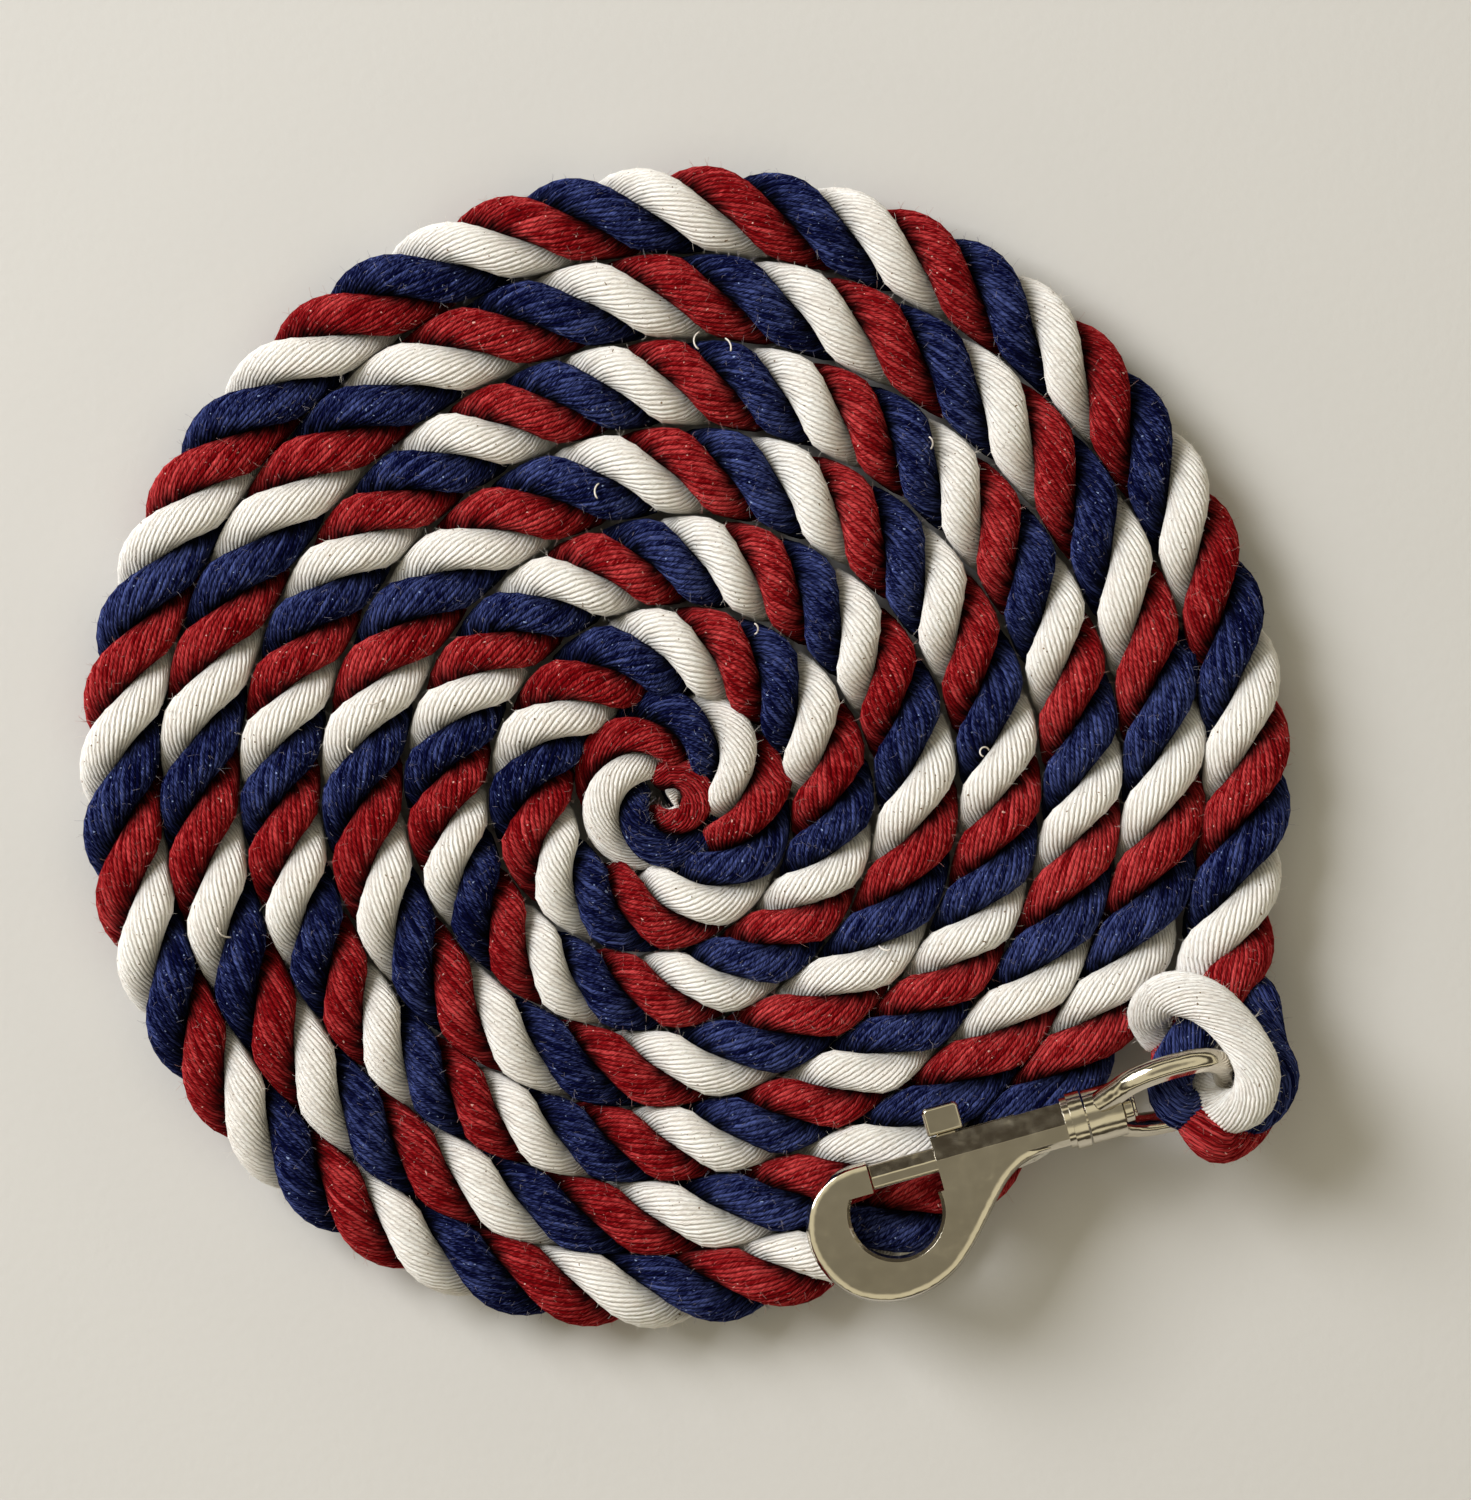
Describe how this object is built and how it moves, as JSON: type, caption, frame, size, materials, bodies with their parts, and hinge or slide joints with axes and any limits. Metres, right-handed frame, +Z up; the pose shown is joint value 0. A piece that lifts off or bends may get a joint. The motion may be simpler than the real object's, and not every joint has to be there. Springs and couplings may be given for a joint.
{
  "type": "lead rope",
  "caption": "Three-strand cotton lead rope laid in a flat spiral coil, with a swivel bolt snap spliced to its outer end.",
  "frame": {"origin": "middle of the spiral, on the surface that the coil lies on", "axes": "+Z up out of the surface; +X towards the side where the outer turn leaves the coil, +Y away from the snap"},
  "size_m": [0.2852, 0.271, 0.0403],
  "materials": {
    "cotton_red": "soft dark red cotton yarn",
    "cotton_white": "soft natural white cotton yarn",
    "cotton_blue": "soft navy blue cotton yarn",
    "nickel": "polished nickel plate on cast metal"
  },
  "bodies": {
    "rope": {"rope_coil": "cotton_white", "rope_run": "cotton_white", "white_splice_strand": "cotton_white", "red_splice_strand": "cotton_red", "blue_splice_strand": "cotton_blue"},
    "eye": {"swivel_eye": "nickel"},
    "snap": {"snap_body": "nickel", "swivel_rivet": "nickel", "bolt_spring": "nickel"},
    "bolt": {"snap_bolt": "nickel", "thumb_stud": "nickel"}
  },
  "joints": [
    {"name": "eye_pivot", "type": "hinge", "parent": "rope", "child": "eye", "pos_m": [0.13137, -0.06632, 0.0267], "axis": [-0.1429, 0.5103, 0.848], "range_deg": [0, 45]},
    {"name": "snap_swivel", "type": "hinge", "parent": "eye", "child": "snap", "pos_m": [0.0993, -0.0753, 0.0267], "axis": [-0.9629, -0.2698, 0], "range_deg": [0, 18]},
    {"name": "bolt_slide", "type": "slide", "parent": "snap", "child": "bolt", "axis": [0.9629, 0.2698, 0], "range_m": [0, 0.014], "stiffness_N_per_m": 700, "springref_m": -0.007, "deforming": ["bolt_spring"]}
  ]
}
